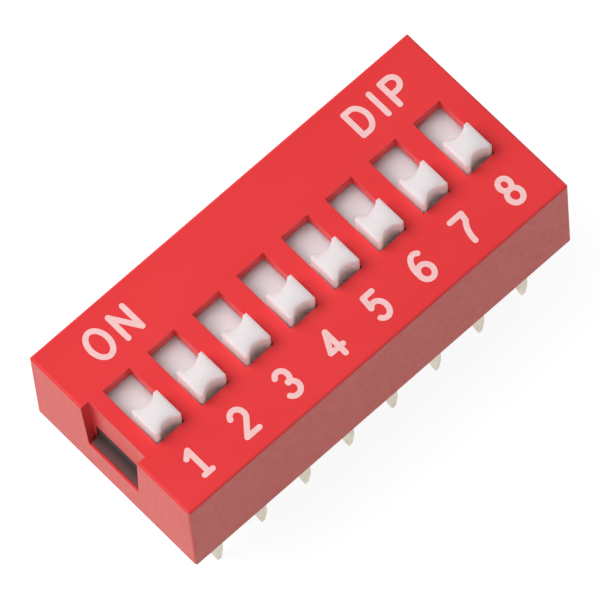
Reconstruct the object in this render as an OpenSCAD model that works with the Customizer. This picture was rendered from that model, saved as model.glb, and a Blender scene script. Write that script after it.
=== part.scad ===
// Slide DIP switch with raised knobs, for through-hole boards.
// Switches stand side by side along X, and each knob slides along Y.
// The underside of the base is the seating plane, at z = 0.

/* [Body] */
// Number of switch positions
positions = 8; // [2:1:12]
// Distance between neighbouring positions
pitch = 2.54; // [2.5:0.02:3]
// Length of body beyond the outer positions, at each end
end_margin = 0.7; // [0.55:0.05:1.5]
// Height of the body above the seating plane
body_h = 5.4; // [5.2:0.1:7]
// Radius on the outer edges of the cover
edge_r = 0.12; // [0.05:0.01:0.2]

/* [Cover walls] */
// Thickness of the cover's top
top_wall = 0.65; // [0.4:0.05:0.7]
// Thickness of the cover's long side walls
side_wall = 0.8; // [0.6:0.05:0.85]
// Thickness of the ribs between two sliders
rib_t = 0.5; // [0.4:0.05:0.6]
// Least gap between a side wall and a slider at the end of its travel
slider_room = 0.3; // [0.1:0.05:0.6]

/* [Slots] */
// Width of the slot round each knob
slot_w = 1.55; // [1.3:0.05:1.65]
// Length of the slot along the travel
slot_l = 3.4; // [3:0.1:3.8]

/* [End notch] */
// How far the notch cuts into the end of the cover
notch_depth = 0.45; // [0.35:0.05:0.5]
// Width of the notch at the top of the cover
notch_top_w = 3.5; // [3.4:0.1:4.5]
// Width of the notch at its foot
notch_foot_w = 3.1; // [3.0:0.05:3.3]
// Height of the band that is left below the notch
band_h = 2; // [1.95:0.05:2.4]
// Ledge beside the window that opens above the band, at each side
window_ledge = 0.05; // [0.05:0.05:0.3]
// Room in the window above the latch
window_room = 0.1; // [0.1:0.05:0.6]

/* [Base] */
// Thickness of the base
base_t = 1.9; // [1.7:0.05:1.9]
// Gap all round between the base and the cover
base_gap = 0.05; // [0.03:0.01:0.08]
// Plastic of the base outside each row of pins
base_edge = 0.19; // [0.12:0.005:0.4]
// Gap between the latch and the cell of the first slider
latch_room = 0.05; // [0.03:0.01:0.1]
// How far the latch hooks over the band
latch_bite = 0.35; // [0.2:0.01:0.38]
// Height of the hook's upright face
hook_face_h = 0.12; // [0.1:0.01:0.2]
// Height of the ramp above that face
hook_ramp_h = 0.3; // [0.3:0.05:0.6]
// Height of the leaf above its ramp
leaf_rise = 0.8; // [0.3:0.05:0.9]
// Width of the tongue at the other end of the base
tongue_w = 3; // [2:0.1:4]
// How far the tongue reaches into the end wall
tongue_bite = 0.12; // [0.08:0.01:0.2]
// Height of the tongue
tongue_h = 0.5; // [0.4:0.05:0.6]
// Height of the tongue's middle above the seating plane
tongue_z = 1; // [0.8:0.05:1.2]
// Depth of the shallow well beside each pin, under the base
well_depth = 0.15; // [0.1:0.05:0.3]
// Width of that well beside the pin
well_margin = 0.12; // [0.05:0.01:0.15]

/* [Sliders] */
// Length of the knob along the travel
knob_l = 1.55; // [1.3:0.05:1.7]
// Height of the knob above the cover
knob_rise = 0.8; // [0.6:0.05:1.5]
// Gap between the knob and the slot, at each side and end
knob_gap = 0.05; // [0.04:0.01:0.08]
// Depth of the finger hollow in each end of the knob
hollow_depth = 0.27; // [0.15:0.01:0.35]
// Radius of the finger hollow
hollow_r = 0.65; // [0.6:0.05:0.8]
// Radius on the knob's upright corners
knob_corner_r = 0.08; // [0.03:0.01:0.1]
// Radius on the knob's top edges
knob_edge_r = 0.12; // [0.04:0.01:0.15]
// Running gap between the slider and the cover or base
slide_gap = 0.05; // [0.04:0.01:0.08]
// How far the slider reaches under the slot's ends at full travel
lap = 0.25; // [0.15:0.05:0.35]
// Thickness of the slider over the wiper's pocket
plate_t = 1.2; // [1:0.05:1.3]
// Wall of the slider beside the pocket
pocket_wall = 0.35; // [0.3:0.05:0.4]
// Wall of the slider at each end of the pocket
pocket_end_wall = 0.5; // [0.4:0.05:0.6]
// Diameter of the peg that holds the wiper
peg_d = 0.5; // [0.4:0.05:0.55]
// Height of the peg
peg_h = 0.3; // [0.2:0.05:0.4]

/* [Wipers] */
// Thickness of the wiper's strip
wiper_t = 0.12; // [0.08:0.01:0.15]
// Gap between the wiper and the pocket, at each side
wiper_side_gap = 0.125; // [0.05:0.005:0.2]
// Distance from the end of the pocket to each contact point
foot_room = 0.65; // [0.5:0.05:0.8]
// Strip left between the peg's hole and the bend, along the flat
flat_margin = 0.22; // [0.1:0.01:0.3]
// Inside radius where a leg leaves the flat
shoulder_r = 0.15; // [0.1:0.01:0.2]
// Inside radius of the contact foot
foot_r = 0.2; // [0.15:0.01:0.25]
// Length of the turned-up end behind the foot
tail_l = 0.15; // [0.05:0.05:0.2]
// Gap round the peg in the wiper's hole
peg_gap = 0.03; // [0.02:0.01:0.05]
// Gap left between the foot and the terminal's pad
contact_gap = 0.02; // [0.01:0.01:0.04]

/* [Terminals] */
// Distance between the two rows of pins
row_spacing = 7.62; // [7.5:0.01:7.62]
// Length of the pins below the seating plane
pin_l = 4.3; // [3:0.1:5]
// Width of the pins
pin_w = 0.5; // [0.4:0.05:0.6]
// Thickness of the terminal strip
strip_t = 0.25; // [0.2:0.01:0.28]
// How far the contact pad stands out beside the wiper, at each side
pad_side = 0.125; // [0.05:0.005:0.2]
// Inside radius of the bend from pad to pin
bend_r = 0.15; // [0.1:0.01:0.25]
// Height of the shoulder where the strip narrows to the pin
shoulder_z = 0.7; // [0.5:0.05:1]
// Length of the taper at the pin's tip
tip_l = 0.7; // [0.4:0.05:1]
// Width of the pin's tip
tip_w = 0.2; // [0.15:0.05:0.3]
// How far a pad reaches past the contact point that stops on it
pad_over = 0.3; // [0.2:0.05:0.4]
// Gap between the two pads of one switch
pad_split = 0.5; // [0.4:0.05:0.6]

/* [Hidden] */
$fn = 48;
eps = 0.01;
switches = [1:positions];
pins = [1:2 * positions];
travel = slot_l - knob_l - 2 * knob_gap;
// Every slider is drawn at OFF, on the side of the numbers.
off_y = -travel / 2;
knob_w = slot_w - 2 * knob_gap;
slider_w = pitch - rib_t - 2 * slide_gap;
slider_l = slot_l + travel + 2 * lap;

body_l = positions * pitch + 2 * end_margin;
// The end walls stand where one more rib would, so each cell has the same width.
cavity_l = positions * pitch - rib_t;
// The cavity holds the pins with their plastic, and the sliders at both ends of their travel.
width_for_pins = row_spacing + strip_t + 2 * (base_edge + base_gap);
width_for_sliders = slider_l + travel + 2 * slider_room;
cavity_w = max(width_for_pins, width_for_sliders);
cavity_h = body_h - top_wall;
body_w = cavity_w + 2 * side_wall;
base_l = cavity_l - 2 * base_gap;
base_w = cavity_w - 2 * base_gap;

// The notch floor and the outer wall of the latch pocket lie on this plane.
notch_x = body_l / 2 - notch_depth;
window_w = notch_foot_w - 2 * window_ledge;
hook_z = band_h + base_gap;
ramp_top = hook_z + hook_face_h + hook_ramp_h;
latch_top = ramp_top + leaf_rise;
window_top = latch_top + window_room;

slider_top = cavity_h - slide_gap;
slider_bottom = base_t + slide_gap;
pocket_top = slider_top - plate_t;
pocket_w = slider_w - 2 * pocket_wall;
pocket_l = slider_l - 2 * pocket_end_wall;

// Each leg of the wiper is the straight line that touches its two bends.
wiper_w = pocket_w - 2 * wiper_side_gap;
contact_y = pocket_l / 2 - foot_room;
flat_y = peg_d / 2 + peg_gap + flat_margin;
foot_z = contact_gap + base_t + wiper_t + foot_r - pocket_top;
bends_r = shoulder_r + foot_r + wiper_t;
bend_span = [contact_y - flat_y, foot_z + wiper_t + shoulder_r];
leg_l = sqrt(bend_span * bend_span - bends_r * bends_r);
leg_angle = atan2(bends_r, leg_l) - atan2(bend_span[1], bend_span[0]);

// The long pads carry both contact points at OFF, and the short pads close the switch at ON.
pad_w = wiper_w + 2 * pad_side;
long_pad_end = off_y + contact_y + pad_over;
short_pad_end = long_pad_end + pad_split;

function switch_x(i) = (i - (positions + 1) / 2) * pitch;

// Pins are numbered along the number side and back along the ON side.
function pin_switch(n) = n <= positions ? n : 2 * positions + 1 - n;
function pin_on_long_side(n) = n <= positions;
function row_side(n) = pin_on_long_side(n) ? -1 : 1;

module rounded_rect(l, w, r) {
    square([l - 2 * r, w], center = true);
    square([l, w - 2 * r], center = true);
    for (x = [-1, 1], y = [-1, 1])
        translate([x * (l / 2 - r), y * (w / 2 - r)])
            circle(r);
}

module arch(w, h, r) {
    translate([-w / 2, 0])
        square([w, h - r]);
    translate([r - w / 2, 0])
        square([w - 2 * r, h]);
    for (x = [-1, 1])
        translate([x * (w / 2 - r), h - r])
            circle(r);
}

// A block on z = 0 with its upper edges rounded by r
module soft_top(l, w, h, r) {
    intersection() {
        translate([0, w / 2, 0])
            rotate([90, 0, 0])
                linear_extrude(w)
                    arch(l, h, r);
        translate([-l / 2, 0, 0])
            rotate([90, 0, 90])
                linear_extrude(l)
                    arch(w, h, r);
    }
}

// An outline drawn in Y and Z, extruded along X about the middle
module side_profile(w) {
    translate([-w / 2, 0, 0])
        rotate([90, 0, 90])
            linear_extrude(w)
                children();
}

// An outline drawn in X and Z, extruded along Y about the middle
module end_profile(w) {
    translate([0, w / 2, 0])
        rotate([90, 0, 0])
            linear_extrude(w)
                children();
}

module slots() {
    for (i = switches)
        translate([switch_x(i) - slot_w / 2, -slot_l / 2, cavity_h - eps])
            cube([slot_w, slot_l, top_wall + 2 * eps]);
}

module end_notch() {
    translate([-body_l / 2 - eps, 0, 0])
        rotate([90, 0, 90])
            linear_extrude(notch_depth + eps)
                polygon([
                    [-notch_foot_w / 2, band_h],
                    [notch_foot_w / 2, band_h],
                    [notch_top_w / 2, body_h + eps],
                    [-notch_top_w / 2, body_h + eps]
                ]);
}

// Open below and into the cavity, it breaks into the notch above the band as a window.
module latch_pocket() {
    translate([-notch_x, -window_w / 2, -eps])
        cube([notch_x - cavity_l / 2 + eps, window_w, window_top + eps]);
}

// A ridge on the base's end, or with grow the groove that it fits
module tongue_ridge(grow) {
    root = base_l / 2 - eps;
    tip = cavity_l / 2 + tongue_bite + grow;
    half = tongue_h / 2 + grow;
    end_profile(tongue_w + 2 * grow)
        polygon([
            [root, tongue_z - half],
            [root, tongue_z + half],
            [tip, tongue_z + half / 2],
            [tip, tongue_z - half / 2]
        ]);
}

module ribs() {
    for (i = [1:positions - 1])
        translate([switch_x(i) + (pitch - rib_t) / 2, -cavity_w / 2 - eps, slider_bottom])
            cube([rib_t, cavity_w + 2 * eps, cavity_h - slider_bottom + eps]);
}

module cover() {
    color("crimson")
        difference() {
            union() {
                difference() {
                    intersection() {
                        soft_top(body_l, body_w, body_h, edge_r);
                        linear_extrude(body_h)
                            rounded_rect(body_l, body_w, edge_r);
                    }
                    translate([-cavity_l / 2, -cavity_w / 2, -eps])
                        cube([cavity_l, cavity_w, cavity_h + eps]);
                }
                ribs();
            }
            slots();
            end_notch();
            latch_pocket();
            tongue_ridge(base_gap);
        }
}

// The leaf stands in the latch pocket, and its hook lies over the band.
module latch() {
    leaf_out = notch_x - base_gap;
    leaf_in = cavity_l / 2 + latch_room;
    hook_out = notch_x + latch_bite;
    end_profile(window_w - 2 * base_gap)
        polygon([
            [-base_l / 2 + eps, 0],
            [-base_l / 2 + eps, base_t],
            [-leaf_in, base_t],
            [-leaf_in, latch_top],
            [-leaf_out, latch_top],
            [-leaf_out, ramp_top],
            [-hook_out, hook_z + hook_face_h],
            [-hook_out, hook_z],
            [-leaf_out, hook_z],
            [-leaf_out, 0]
        ]);
}

// Each well runs out at the edge of the base.
module pin_wells() {
    well_l = base_w / 2 - row_spacing / 2 + strip_t / 2 + well_margin;
    for (n = pins)
        translate([switch_x(pin_switch(n)), row_side(n) * (base_w / 2 - well_l / 2), 0])
            cube([pin_w + 2 * well_margin, well_l + eps, 2 * well_depth], center = true);
}

module base() {
    color("dimgray")
        difference() {
            union() {
                translate([-base_l / 2, -base_w / 2, 0])
                    cube([base_l, base_w, base_t]);
                latch();
                tongue_ridge(0);
            }
            pin_wells();
            for (n = pins)
                terminal_shape(n);
        }
}

module knob_outline() {
    difference() {
        rounded_rect(knob_w, knob_l, knob_corner_r);
        for (y = [-1, 1])
            translate([0, y * (knob_l / 2 + hollow_r - hollow_depth)])
                circle(hollow_r);
    }
}

module knob() {
    knob_h = body_h + knob_rise - slider_top + eps;
    translate([0, 0, slider_top - eps])
        intersection() {
            linear_extrude(knob_h)
                knob_outline();
            soft_top(knob_w, knob_l, knob_h, knob_edge_r);
        }
}

module slider(i) {
    color("whitesmoke")
        translate([switch_x(i), off_y, 0]) {
            difference() {
                union() {
                    translate([-slider_w / 2, -slider_l / 2, slider_bottom])
                        cube([slider_w, slider_l, slider_top - slider_bottom]);
                    knob();
                }
                translate([-pocket_w / 2, -pocket_l / 2, slider_bottom - eps])
                    cube([pocket_w, pocket_l, pocket_top - slider_bottom + eps]);
            }
            translate([0, 0, pocket_top - peg_h])
                cylinder(h = peg_h + eps, d = peg_d);
        }
}

// A bent strip of inside radius r, from angle a0 to a1
module bent_strip(r, t, a0, a1) {
    mid = (a0 + a1) / 2;
    far = 3 * (r + t);
    intersection() {
        difference() {
            circle(r + t);
            circle(r);
        }
        polygon([
            [0, 0],
            far * [cos(a0), sin(a0)],
            far * [cos(mid), sin(mid)],
            far * [cos(a1), sin(a1)]
        ]);
    }
}

// One arm of the wiper in Y and Z, from its middle outward, with its flat's top on z = 0
module wiper_arm() {
    translate([0, -wiper_t])
        square([flat_y + eps, wiper_t]);
    translate([flat_y, -wiper_t - shoulder_r]) {
        bent_strip(shoulder_r, wiper_t, 90 - leg_angle, 90);
        rotate(-leg_angle)
            translate([-eps, shoulder_r])
                square([leg_l + 2 * eps, wiper_t]);
    }
    translate([contact_y, foot_z]) {
        bent_strip(foot_r, wiper_t, 270 - leg_angle, 270 + leg_angle);
        rotate(leg_angle)
            translate([-eps, -foot_r - wiper_t])
                square([tail_l + eps, wiper_t]);
    }
}

module wiper(i) {
    color("goldenrod")
        translate([switch_x(i), off_y, pocket_top])
            difference() {
                side_profile(wiper_w) {
                    wiper_arm();
                    mirror([1, 0])
                        wiper_arm();
                }
                translate([0, 0, -wiper_t - eps])
                    cylinder(h = wiper_t + 2 * eps, d = peg_d + 2 * peg_gap);
            }
}

// Pad, bend and pin in Y and Z, with the pin on y = 0 and the pad towards +Y
module terminal_side(pad_l) {
    bend_y = strip_t / 2 + bend_r;
    bend_z = base_t - strip_t - bend_r;
    translate([-strip_t / 2, -pin_l])
        square([strip_t, pin_l + bend_z + eps]);
    translate([bend_y, bend_z])
        bent_strip(bend_r, strip_t, 90, 180);
    translate([bend_y - eps, base_t - strip_t])
        square([pad_l - bend_y + eps, strip_t]);
}

// The blank as it is stamped, seen along Y
module terminal_front() {
    translate([-pad_w / 2, shoulder_z])
        square([pad_w, base_t]);
    polygon([
        [-pin_w / 2, shoulder_z + eps],
        [-pin_w / 2, tip_l - pin_l],
        [-tip_w / 2, -pin_l],
        [tip_w / 2, -pin_l],
        [pin_w / 2, tip_l - pin_l],
        [pin_w / 2, shoulder_z + eps]
    ]);
}

module terminal_shape(n) {
    pad_end = pin_on_long_side(n) ? long_pad_end : -short_pad_end;
    pad_l = row_spacing / 2 + pad_end;
    translate([switch_x(pin_switch(n)), row_side(n) * row_spacing / 2, 0])
        mirror([0, pin_on_long_side(n) ? 0 : 1, 0])
            intersection() {
                side_profile(pad_w)
                    terminal_side(pad_l);
                end_profile(2 * row_spacing)
                    terminal_front();
            }
}

module terminal(n) {
    color("tan")
        terminal_shape(n);
}

cover();
base();
for (i = switches) {
    slider(i);
    wiper(i);
}
for (n = pins)
    terminal(n);
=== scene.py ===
"""Looks of a slide DIP switch: moulded plastics, plated metal and printed marks around its CAD frame."""

import math

import bpy
import numpy as np
from mathutils import Matrix, Vector
from mathutils.geometry import tessellate_polygon


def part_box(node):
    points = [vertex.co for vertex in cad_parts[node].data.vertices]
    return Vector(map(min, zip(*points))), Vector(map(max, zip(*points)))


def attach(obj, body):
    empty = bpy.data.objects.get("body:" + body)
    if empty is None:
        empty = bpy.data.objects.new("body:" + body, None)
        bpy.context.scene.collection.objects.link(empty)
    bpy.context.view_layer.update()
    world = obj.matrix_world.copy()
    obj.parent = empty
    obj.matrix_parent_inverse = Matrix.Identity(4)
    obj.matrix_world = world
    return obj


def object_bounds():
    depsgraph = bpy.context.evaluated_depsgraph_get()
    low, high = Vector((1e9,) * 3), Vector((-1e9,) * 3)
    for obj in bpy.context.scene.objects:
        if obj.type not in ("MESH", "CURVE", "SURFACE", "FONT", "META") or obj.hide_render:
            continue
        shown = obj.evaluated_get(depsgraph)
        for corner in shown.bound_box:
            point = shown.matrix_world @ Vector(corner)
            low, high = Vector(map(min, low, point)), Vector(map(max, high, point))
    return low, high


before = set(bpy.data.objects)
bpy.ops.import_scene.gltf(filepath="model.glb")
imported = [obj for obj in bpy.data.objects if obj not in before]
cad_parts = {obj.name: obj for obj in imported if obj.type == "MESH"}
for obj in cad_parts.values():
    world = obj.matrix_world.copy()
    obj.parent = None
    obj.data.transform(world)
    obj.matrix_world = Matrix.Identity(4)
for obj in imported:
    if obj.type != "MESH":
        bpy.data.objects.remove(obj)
cad_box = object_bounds()

MM = 0.001
POSITIONS = 8
SLIDERS = [f"slider_{i}" for i in range(1, POSITIONS + 1)]
WIPERS = [f"wiper_{i}" for i in range(1, POSITIONS + 1)]
TERMINALS = [f"terminal_{n}" for n in range(1, 2 * POSITIONS + 1)]

# Camera: where it looks from, and how it is turned about its own axis
VIEW_AZIMUTH = -36.92
VIEW_ELEVATION = 65.40
VIEW_ROLL = 6.50
VIEW_DISTANCE = 418.8 * MM
VIEW_LENS = 594.6
VIEW_AIM = Vector((-0.084, 0.063, 2.522)) * MM

# Light: a soft key from the ON side over the first switch, in a pale room
KEY_DIRECTION = (-0.42, 0.36, 0.83)
KEY_DISTANCE = 0.30
KEY_SIZE = 0.26
KEY_POWER = 0.94

# The room is palest at the horizon, and dims until the height where its direction's Z is ROOM_HIGH
ROOM_LEVELS = (0.95, 0.20)
ROOM_HIGH = 0.5

# Floor: how far it reaches, its own grey, the glow that the camera sees within the near reach and
# beyond the far one, and the glow and its tint that reflections see
FLOOR_HALF = 1.2
FLOOR_REACH = (0.03, 0.15)
FLOOR_GREY = 0.27
FLOOR_GLOW = (0.89, 1.0)
FLOOR_SHEEN = 0.86
FLOOR_TINT = (1, 0.99, 0.87)

# Moulded plastic: size of its flow marks, size and depth of its mottle and spark texture, and
# how wide its edges are rubbed, with a painted edge highlight on the red, and rounded
FLOW_SIZE = 4.5 * MM
FLOW_STRETCH = (2.2, 1, 1)
MOTTLE_SIZE, MOTTLE_DEPTH = 0.35 * MM, 0.0018 * MM
SPARK_SIZE, SPARK_DEPTH = 0.07 * MM, 0.0006 * MM
WEAR_AND_SHEEN_WIDTH = 0.07 * MM
MOULD_ROUND = 0.04 * MM

# Painted light on low level faces: full up to the first height and gone at the second, which leaves a
# painted shade higher up
PAINTED_LIGHT_FADES = (2.15 * MM, 2.45 * MM)

# Plated strip: its drawn lines, its patches of duller plating, and how its edges are rounded
DRAWN_SIZE, DRAWN_DEPTH = 0.02 * MM, 0.0012 * MM
DRAWN_STRETCH = 14.0
PATCH_SIZE, PATCH_DEPTH = 0.5 * MM, 0.002 * MM
STRIP_ROUND = 0.025 * MM

# Ink: how it thins out, and its grain
THIN_SIZE, THIN_DEPTH = 0.3 * MM, 0.002 * MM
GRAIN_SIZE, GRAIN_DEPTH = 0.05 * MM, 0.0008 * MM

BEVEL_SAMPLES = 6


# ---------------------------------------------------------------- materials

class Shader:
    """A material's node tree, with short calls for the nodes that the materials here share."""

    def __init__(self, name):
        self.material = bpy.data.materials.new(name)
        self.material.use_nodes = True
        self.tree = self.material.node_tree
        self.bsdf = self.tree.nodes["Principled BSDF"]
        self.output = self.tree.nodes["Material Output"]
        coords = self.tree.nodes.new("ShaderNodeTexCoord")
        self.place = coords.outputs["Object"]

    def node(self, kind, **settings):
        made = self.tree.nodes.new(kind)
        for key, value in settings.items():
            setattr(made, key, value)
        return made

    def link(self, source, target):
        self.tree.links.new(source, target)

    def noise(self, size, detail=2.0, roughness=0.5, stretch=(1, 1, 1)):
        """Noise whose features are about size metres across, longer where stretch is large."""
        mapping = self.node("ShaderNodeMapping")
        self.link(self.place, mapping.inputs["Vector"])
        for axis in range(3):
            mapping.inputs["Scale"].default_value[axis] = 1 / (size * stretch[axis])
        noise = self.node("ShaderNodeTexNoise")
        noise.inputs["Scale"].default_value = 1.0
        noise.inputs["Detail"].default_value = detail
        noise.inputs["Roughness"].default_value = roughness
        self.link(mapping.outputs["Vector"], noise.inputs["Vector"])
        return noise.outputs["Fac"]

    def remap(self, value, low, high, start=0.3, end=0.7):
        """Spreads value's start to end over low to high."""
        spread = self.node("ShaderNodeMapRange")
        spread.inputs["From Min"].default_value = start
        spread.inputs["From Max"].default_value = end
        spread.inputs["To Min"].default_value = low
        spread.inputs["To Max"].default_value = high
        self.link(value, spread.inputs["Value"])
        return spread.outputs["Result"]

    def blend(self, factor, first, second):
        """A colour between first and second, which are colours or sockets."""
        mix = self.node("ShaderNodeMix", data_type="RGBA")
        self.link(factor, mix.inputs["Factor"])
        for socket, value in ((mix.inputs[6], first), (mix.inputs[7], second)):
            if isinstance(value, tuple):
                socket.default_value = (*value, 1)
            else:
                self.link(value, socket)
        return mix.outputs[2]

    def multiply(self, first, second):
        """The product of a socket and a socket or number."""
        product = self.node("ShaderNodeMath", operation="MULTIPLY")
        self.link(first, product.inputs[0])
        if isinstance(second, float):
            product.inputs[1].default_value = second
        else:
            self.link(second, product.inputs[1])
        return product.outputs["Value"]

    def rounded(self, radius):
        """The normal over edges that are rounded by radius."""
        bevel = self.node("ShaderNodeBevel", samples=BEVEL_SAMPLES)
        bevel.inputs["Radius"].default_value = radius
        return bevel.outputs["Normal"]

    def bump(self, layers, edge_radius=0.0):
        """Stacks (height socket, depth in metres) layers, over edges rounded by edge_radius."""
        normal = self.rounded(edge_radius) if edge_radius else None
        for height, depth in layers:
            step = self.node("ShaderNodeBump")
            step.inputs["Strength"].default_value = 1.0
            step.inputs["Distance"].default_value = depth
            self.link(height, step.inputs["Height"])
            if normal:
                self.link(normal, step.inputs["Normal"])
            normal = step.outputs["Normal"]
        self.link(normal, self.bsdf.inputs["Normal"])

    def edge_mask(self, radius):
        """1 along edges and corners, 0 on flat faces."""
        geometry = self.node("ShaderNodeNewGeometry")
        dot = self.node("ShaderNodeVectorMath", operation="DOT_PRODUCT")
        self.link(self.rounded(radius), dot.inputs[0])
        self.link(geometry.outputs["True Normal"], dot.inputs[1])
        return self.remap(dot.outputs["Value"], 1.0, 0.0, start=0.75, end=0.99)

    def z_of(self, vector):
        split = self.node("ShaderNodeSeparateXYZ")
        self.link(vector, split.inputs["Vector"])
        return split.outputs["Z"]

    def upward(self):
        """How far a face looks up: 1 for level faces, 0 for upright ones."""
        return self.z_of(self.node("ShaderNodeNewGeometry").outputs["True Normal"])

    def height(self):
        """Metres above the part's own zero."""
        return self.z_of(self.place)


def moulded_plastic(name, colour, deeper, roughness, worn_and_sheen, ior=1.5, depth=0.0, lit_faces_tint=None):
    """Injection-moulded plastic: faint flow shading, fine spark texture and rubbed edges, whose worn
    colour is wear and, on the red, partly a painted edge highlight.

    Light travels about depth inside it, and its low level faces may take a painted highlight in the
    given tint, lighter where they face up, which fades out higher up as a painted shade.
    """
    s = Shader(name)
    flow = s.noise(FLOW_SIZE, detail=3, stretch=FLOW_STRETCH)
    mottle = s.noise(MOTTLE_SIZE, detail=4, roughness=0.6)
    spark = s.noise(SPARK_SIZE, detail=3, roughness=0.65)
    body = s.blend(s.remap(flow, 0, 1), colour, deeper)
    # Painted light: level faces lighter as if lit from above, fading out with height as a painted shade
    if lit_faces_tint:
        painted_lit_faces = s.remap(s.upward(), 0, 1, start=0.1, end=0.8)
        painted_shade_above = s.remap(s.height(), 1, 0, *PAINTED_LIGHT_FADES)
        body = s.blend(s.multiply(painted_lit_faces, painted_shade_above), body, lit_faces_tint)
    # Rubbed edges in the worn colour: wear, and on the red partly a painted edge highlight
    rubbed_and_sheen = s.multiply(s.edge_mask(WEAR_AND_SHEEN_WIDTH), s.remap(mottle, 0.1, 0.8))
    s.link(s.blend(rubbed_and_sheen, body, worn_and_sheen), s.bsdf.inputs["Base Color"])
    s.link(s.remap(mottle, roughness - 0.05, roughness + 0.06), s.bsdf.inputs["Roughness"])
    s.bump([(mottle, MOTTLE_DEPTH), (spark, SPARK_DEPTH)], edge_radius=MOULD_ROUND)
    s.bsdf.inputs["IOR"].default_value = ior
    if depth:
        s.bsdf.inputs["Subsurface Weight"].default_value = 1.0
        s.bsdf.inputs["Subsurface Radius"].default_value = (1.0, 0.9, 0.8)
        s.bsdf.inputs["Subsurface Scale"].default_value = depth
    return s.material


def plated_strip(name, colour, dull, roughness, along):
    """Rolled and plated strip: lines drawn along one axis, patches of duller plating, eased edges."""
    s = Shader(name)
    stretch = tuple(DRAWN_STRETCH if axis == along else 1.0 for axis in "xyz")
    drawn = s.noise(DRAWN_SIZE, detail=3, roughness=0.7, stretch=stretch)
    patches = s.noise(PATCH_SIZE, detail=4, roughness=0.6)
    s.link(s.blend(s.remap(patches, 0, 1), colour, dull), s.bsdf.inputs["Base Color"])
    s.link(s.remap(patches, roughness - 0.08, roughness + 0.12), s.bsdf.inputs["Roughness"])
    s.bump([(drawn, DRAWN_DEPTH), (patches, PATCH_DEPTH)], edge_radius=STRIP_ROUND)
    s.bsdf.inputs["Metallic"].default_value = 1.0
    return s.material


def printing_ink(name, colour, thin):
    """Pad-printed ink, a little thin in places so that the plastic below tints it."""
    s = Shader(name)
    cover = s.noise(THIN_SIZE, detail=4, roughness=0.6)
    grain = s.noise(GRAIN_SIZE, detail=3, roughness=0.6)
    s.link(s.blend(s.remap(cover, 0, 1), colour, thin), s.bsdf.inputs["Base Color"])
    s.link(s.remap(grain, 0.42, 0.6), s.bsdf.inputs["Roughness"])
    s.bump([(cover, THIN_DEPTH), (grain, GRAIN_DEPTH)])
    return s.material


def dress(material, *nodes):
    """Gives CAD nodes a material in place of their plain one."""
    for name in nodes:
        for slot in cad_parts[name].material_slots:
            slot.link = "OBJECT"
            slot.material = material


# Red plastic, whose worn colour on its edges is partly a painted edge highlight
RED = moulded_plastic(
    "red_plastic", (0.85, 0.046, 0.052), (0.80, 0.037, 0.042), 0.40, (0.90, 0.150, 0.155)
)
# Black plastic, with a painted highlight on its low level faces that fades to a painted shade higher up
BLACK = moulded_plastic(
    "black_plastic", (0.044, 0.028, 0.027), (0.036, 0.023, 0.022), 0.60, (0.07, 0.052, 0.050),
    ior=1.4, lit_faces_tint=(0.150, 0.066, 0.062),
)
WHITE = moulded_plastic(
    "white_plastic", (0.93, 0.92, 0.91), (0.91, 0.90, 0.89), 0.38, (0.95, 0.94, 0.93),
    depth=1.8 * MM,
)
TIN = plated_strip("tinned_strip", (0.72, 0.66, 0.62), (0.62, 0.565, 0.53), 0.27, "z")
GOLD = plated_strip("gold_plated_strip", (0.88, 0.66, 0.28), (0.80, 0.58, 0.22), 0.25, "y")
INK = printing_ink("white_ink", (0.97, 0.65, 0.64), (0.95, 0.54, 0.53))

dress(RED, "cover")
dress(BLACK, "base")
dress(WHITE, *SLIDERS)
dress(GOLD, *WIPERS)
dress(TIN, *TERMINALS)


# ---------------------------------------------------------------- printed marks

# All of this in millimetres. The pen's width and the ink's height, and where the marks stand
STROKE = 0.26
INK_HEIGHT = 0.012
ON_X = (-8.31, -6.84)
DIP_X = (6.67, 7.71, 8.72)
LETTER_Y = 3.37
DIGIT_Y = -3.43
DIGIT_TALL = 1.05
DIGIT_SPREAD = 1.006

# Outlines are traced on a grid this fine, without points closer than CROWDED or on a turn below
# STRAIGHT, in radians
GRID = 0.025
CROWDED = 0.1 * GRID
STRAIGHT = 0.002
FAR_OFF = 1e9


def line(*points):
    """A straight or bent stroke through the points."""
    return np.array(points, float)


def arc(centre, radii, start, end, steps=40):
    """A stroke along an ellipse, from start to end in degrees."""
    angles = np.radians(np.linspace(start, end, steps))
    return np.stack([
        centre[0] + radii[0] * np.cos(angles),
        centre[1] + radii[1] * np.sin(angles),
    ], axis=1)


def join(*strokes):
    return np.concatenate(strokes)


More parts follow.
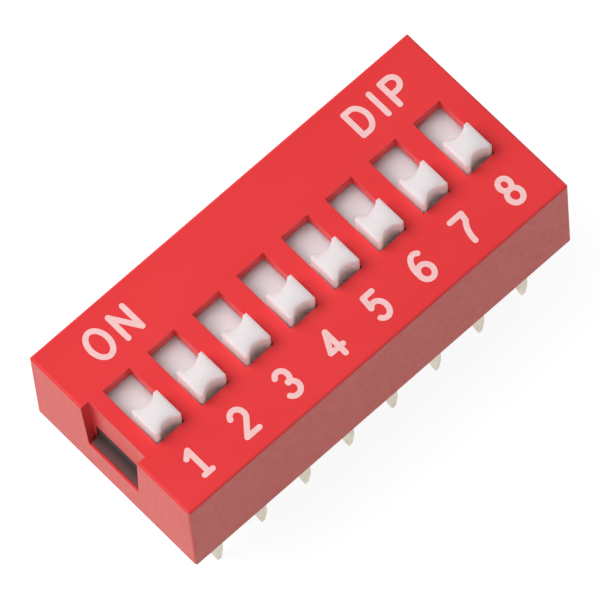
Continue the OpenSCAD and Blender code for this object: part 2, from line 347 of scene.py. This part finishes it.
# Each mark is a list of strokes in millimetres about its own middle.
GLYPHS = {
    "O": [arc((0, 0), (0.47, 0.70), 0, 360, 80)],
    "N": [line((-0.40, -0.64), (-0.40, 0.64), (0.40, -0.64), (0.40, 0.64))],
    "D": [join(
        line((-0.40, -0.64), (-0.40, 0.64), (-0.08, 0.64)),
        arc((-0.08, 0), (0.46, 0.64), 90, -90),
        line((-0.40, -0.64)),
    )],
    "I": [line((0, -0.62), (0, 0.62))],
    "P": [join(
        line((-0.36, -0.64), (-0.36, 0.64), (0.00, 0.64)),
        arc((0.00, 0.29), (0.36, 0.35), 90, -90),
        line((-0.36, -0.06)),
    )],
    "1": [
        line((-0.30, 0.36), (0.0, 0.62), (0.0, -0.64)),
        line((-0.22, -0.64), (0.22, -0.64)),
    ],
    "2": [join(
        arc((-0.01, 0.28), (0.33, 0.36), 160, -35),
        line((-0.34, -0.62), (0.34, -0.62)),
    )],
    "3": [
        arc((-0.02, 0.31), (0.29, 0.33), 150, -80),
        arc((-0.03, -0.30), (0.35, 0.34), 80, -150),
    ],
    "4": [line((0.14, -0.64), (0.14, 0.60), (-0.34, -0.26), (0.34, -0.26))],
    "5": [join(
        line((0.28, 0.62), (-0.22, 0.62), (-0.27, 0.06)),
        arc((-0.02, -0.22), (0.34, 0.42), 128, -140),
    )],
    "6": [
        arc((0, -0.28), (0.33, 0.36), 0, 360, 80),
        arc((0.10, -0.10), (0.43, 0.74), 62, 192),
    ],
    "7": [join(line((-0.32, 0.62), (0.32, 0.62)), arc((0.62, -0.64), (0.70, 1.06), 122, 180, 20))],
    "8": [
        arc((0, 0.33), (0.27, 0.30), 0, 360, 80),
        arc((0, -0.30), (0.33, 0.35), 0, 360, 80),
    ],
}


def distance_to_strokes(points, strokes):
    """The least distance from each point to any stroke's middle line."""
    best = np.full(len(points), FAR_OFF)
    for stroke in strokes:
        for a, b in zip(stroke[:-1], stroke[1:]):
            along = b - a
            t = ((points - a) @ along) / max(along @ along, 1e-12)
            nearest = a + np.clip(t, 0, 1)[:, None] * along
            best = np.minimum(best, np.linalg.norm(points - nearest, axis=1))
    return best


def thinned(loop):
    """The loop without points that crowd their neighbour or lie on a straight run."""
    apart = [point for i, point in enumerate(loop)
             if np.linalg.norm(point - loop[i - 1]) > CROWDED]
    kept = []
    for before, point, after in zip(apart[-1:] + apart[:-1], apart, apart[1:] + apart[:1]):
        back, ahead = point - before, after - point
        turn = back[0] * ahead[1] - back[1] * ahead[0]
        if abs(turn) > STRAIGHT * np.linalg.norm(back) * np.linalg.norm(ahead):
            kept.append(point)
    return np.array(kept)


def outlines(strokes):
    """Closed outlines of the strokes drawn with a round pen, by marching squares."""
    everything = np.concatenate(strokes)
    low = everything.min(axis=0) - STROKE
    counts = np.ceil((everything.max(axis=0) + STROKE - low) / GRID).astype(int) + 1
    axes = [low[i] + GRID * np.arange(counts[i]) for i in range(2)]
    points = np.stack(np.meshgrid(*axes, indexing="ij"), axis=-1)
    field = STROKE / 2 - distance_to_strokes(points.reshape(-1, 2), strokes)
    field = field.reshape(counts)

    following = {}
    crossing = {}
    for i in range(counts[0] - 1):
        for j in range(counts[1] - 1):
            ring = [(i, j), (i + 1, j), (i + 1, j + 1), (i, j + 1)]
            enters, leaves = [], []
            for p, q in zip(ring, ring[1:] + ring[:1]):
                if (field[p] > 0) == (field[q] > 0):
                    continue
                key = (min(p, q), max(p, q))
                share = field[p] / (field[p] - field[q])
                crossing[key] = points[p] + share * (points[q] - points[p])
                (leaves if field[p] > 0 else enters).append(key)
            for start, end in zip(enters, leaves):
                following[start] = end
    loops = []
    while following:
        start = next(iter(following))
        loop, key = [], start
        while key in following:
            loop.append(crossing[key])
            key = following.pop(key)
        loops.append(thinned(loop))
    return loops


def print_mark(name, text, places, tall=1.0):
    """One print on the cover's top: a mark of text at each (x, y) place in millimetres."""
    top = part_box("cover")[1].z
    vertices, faces = [], []
    for letter, place in zip(text, places):
        strokes = [stroke * (1.0, tall) for stroke in GLYPHS[letter]]
        loops = [loop + place for loop in outlines(strokes)]
        flat = [[Vector((x, y, 0)) for x, y in loop] for loop in loops]
        count = sum(len(loop) for loop in loops)
        first = len(vertices)
        for height in (0.0, INK_HEIGHT):
            vertices += [(x * MM, y * MM, top + height * MM) for loop in loops for x, y in loop]
        for a, b, c in tessellate_polygon(flat):
            faces.append((first + a, first + b, first + c))
            faces.append((first + count + c, first + count + b, first + count + a))
        start = first
        for loop in loops:
            ring = list(range(start, start + len(loop)))
            for a, b in zip(ring, ring[1:] + ring[:1]):
                faces.append((b, a, a + count, b + count))
            start += len(loop)
    mesh = bpy.data.meshes.new(name)
    mesh.from_pydata(vertices, [], faces)
    mesh.validate()
    mesh.materials.append(INK)
    piece = bpy.data.objects.new(name, mesh)
    bpy.context.scene.collection.objects.link(piece)
    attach(piece, "housing")


def print_all():
    """The two words at the ON side, and each switch's number in line with its slider."""
    print_mark("print_on", "ON", [(x, LETTER_Y) for x in ON_X])
    print_mark("print_dip", "DIP", [(x, LETTER_Y) for x in DIP_X])
    for i, slider in enumerate(SLIDERS, start=1):
        low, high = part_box(slider)
        place = ((low.x + high.x) / 2 / MM * DIGIT_SPREAD, DIGIT_Y)
        print_mark(f"print_{i}", str(i), [place], DIGIT_TALL)


print_all()


# ---------------------------------------------------------------- stage, light and camera

def floor():
    """A pale floor at the pin tips, white from above apart from the soft shadow, clear from below."""
    z = cad_box[0].z
    mesh = bpy.data.meshes.new("floor")
    corners = [(x * FLOOR_HALF, y * FLOOR_HALF, z) for x, y in ((-1, -1), (1, -1), (1, 1), (-1, 1))]
    mesh.from_pydata(corners, [], [(0, 1, 2, 3)])
    ground = bpy.data.objects.new("floor", mesh)
    bpy.context.scene.collection.objects.link(ground)
    s = Shader("pale_floor")
    s.bsdf.inputs["Base Color"].default_value = (FLOOR_GREY, FLOOR_GREY, FLOOR_GREY, 1)
    s.bsdf.inputs["Roughness"].default_value = 0.9
    glow = s.node("ShaderNodeEmission")
    rays = s.node("ShaderNodeLightPath")
    s.link(s.blend(rays.outputs["Is Camera Ray"], FLOOR_TINT, (1, 1, 1)), glow.inputs["Color"])
    reach = s.node("ShaderNodeVectorMath", operation="LENGTH")
    s.link(s.place, reach.inputs[0])
    paler_far_off = s.remap(reach.outputs["Value"], *FLOOR_GLOW, *FLOOR_REACH)
    strength = s.node("ShaderNodeMath", operation="MULTIPLY_ADD")
    s.link(rays.outputs["Is Camera Ray"], strength.inputs[0])
    s.link(paler_far_off, strength.inputs[1])
    s.link(s.multiply(rays.outputs["Is Glossy Ray"], FLOOR_SHEEN), strength.inputs[2])
    s.link(strength.outputs["Value"], glow.inputs["Strength"])
    total = s.node("ShaderNodeAddShader")
    s.link(s.bsdf.outputs["BSDF"], total.inputs[0])
    s.link(glow.outputs["Emission"], total.inputs[1])
    sides = s.node("ShaderNodeNewGeometry")
    clear = s.node("ShaderNodeBsdfTransparent")
    shown = s.node("ShaderNodeMixShader")
    s.link(sides.outputs["Backfacing"], shown.inputs["Fac"])
    s.link(total.outputs["Shader"], shown.inputs[1])
    s.link(clear.outputs["BSDF"], shown.inputs[2])
    s.link(shown.outputs["Shader"], s.output.inputs["Surface"])
    mesh.materials.append(s.material)


def surroundings():
    """A pale room, brighter towards the horizon, and pure white where the camera sees it."""
    world = bpy.data.worlds.new("room")
    bpy.context.scene.world = world
    world.use_nodes = True
    tree = world.node_tree
    room = tree.nodes["Background"]
    room.inputs["Color"].default_value = (1, 1, 1, 1)
    coords = tree.nodes.new("ShaderNodeTexCoord")
    split = tree.nodes.new("ShaderNodeSeparateXYZ")
    tree.links.new(coords.outputs["Generated"], split.inputs["Vector"])
    level = tree.nodes.new("ShaderNodeMapRange")
    level.inputs["From Max"].default_value = ROOM_HIGH
    level.inputs["To Min"].default_value, level.inputs["To Max"].default_value = ROOM_LEVELS
    tree.links.new(split.outputs["Z"], level.inputs["Value"])
    rays = tree.nodes.new("ShaderNodeLightPath")
    seen = tree.nodes.new("ShaderNodeMath")
    seen.operation = "MAXIMUM"
    tree.links.new(level.outputs["Result"], seen.inputs[0])
    tree.links.new(rays.outputs["Is Camera Ray"], seen.inputs[1])
    tree.links.new(seen.outputs["Value"], room.inputs["Strength"])


def soft_box(name, direction, distance, size, power):
    """A square area lamp that looks at the part from direction and isn't mirrored in it."""
    lamp = bpy.data.lights.new(name, "AREA")
    lamp.shape = "SQUARE"
    lamp.size = size
    lamp.energy = power
    holder = bpy.data.objects.new(name, lamp)
    toward = Vector(direction).normalized()
    holder.location = toward * distance
    holder.rotation_mode = "QUATERNION"
    holder.rotation_quaternion = toward.to_track_quat("Z", "Y")
    holder.visible_glossy = False
    bpy.context.scene.collection.objects.link(holder)


def camera():
    """The photo's view: from VIEW_AIM back along azimuth and elevation, rolled about its own axis."""
    a, e, r = (math.radians(v) for v in (VIEW_AZIMUTH, VIEW_ELEVATION, VIEW_ROLL))
    back = Vector((math.sin(a) * math.cos(e), -math.cos(a) * math.cos(e), math.sin(e)))
    level = Vector((math.cos(a), math.sin(a), 0))
    rise = back.cross(level)
    right = math.cos(r) * level - math.sin(r) * rise
    up = math.sin(r) * level + math.cos(r) * rise
    data = bpy.data.cameras.new("camera")
    data.lens = VIEW_LENS
    data.sensor_width = 36
    data.clip_start = 0.01
    data.clip_end = 10
    holder = bpy.data.objects.new("camera", data)
    turn = Matrix((right, up, back)).transposed().to_4x4()
    holder.matrix_world = Matrix.Translation(VIEW_AIM + back * VIEW_DISTANCE) @ turn
    bpy.context.scene.collection.objects.link(holder)
    bpy.context.scene.camera = holder


floor()
surroundings()
soft_box("key", KEY_DIRECTION, KEY_DISTANCE, KEY_SIZE, KEY_POWER)
camera()
bpy.context.scene.view_settings.view_transform = "Standard"
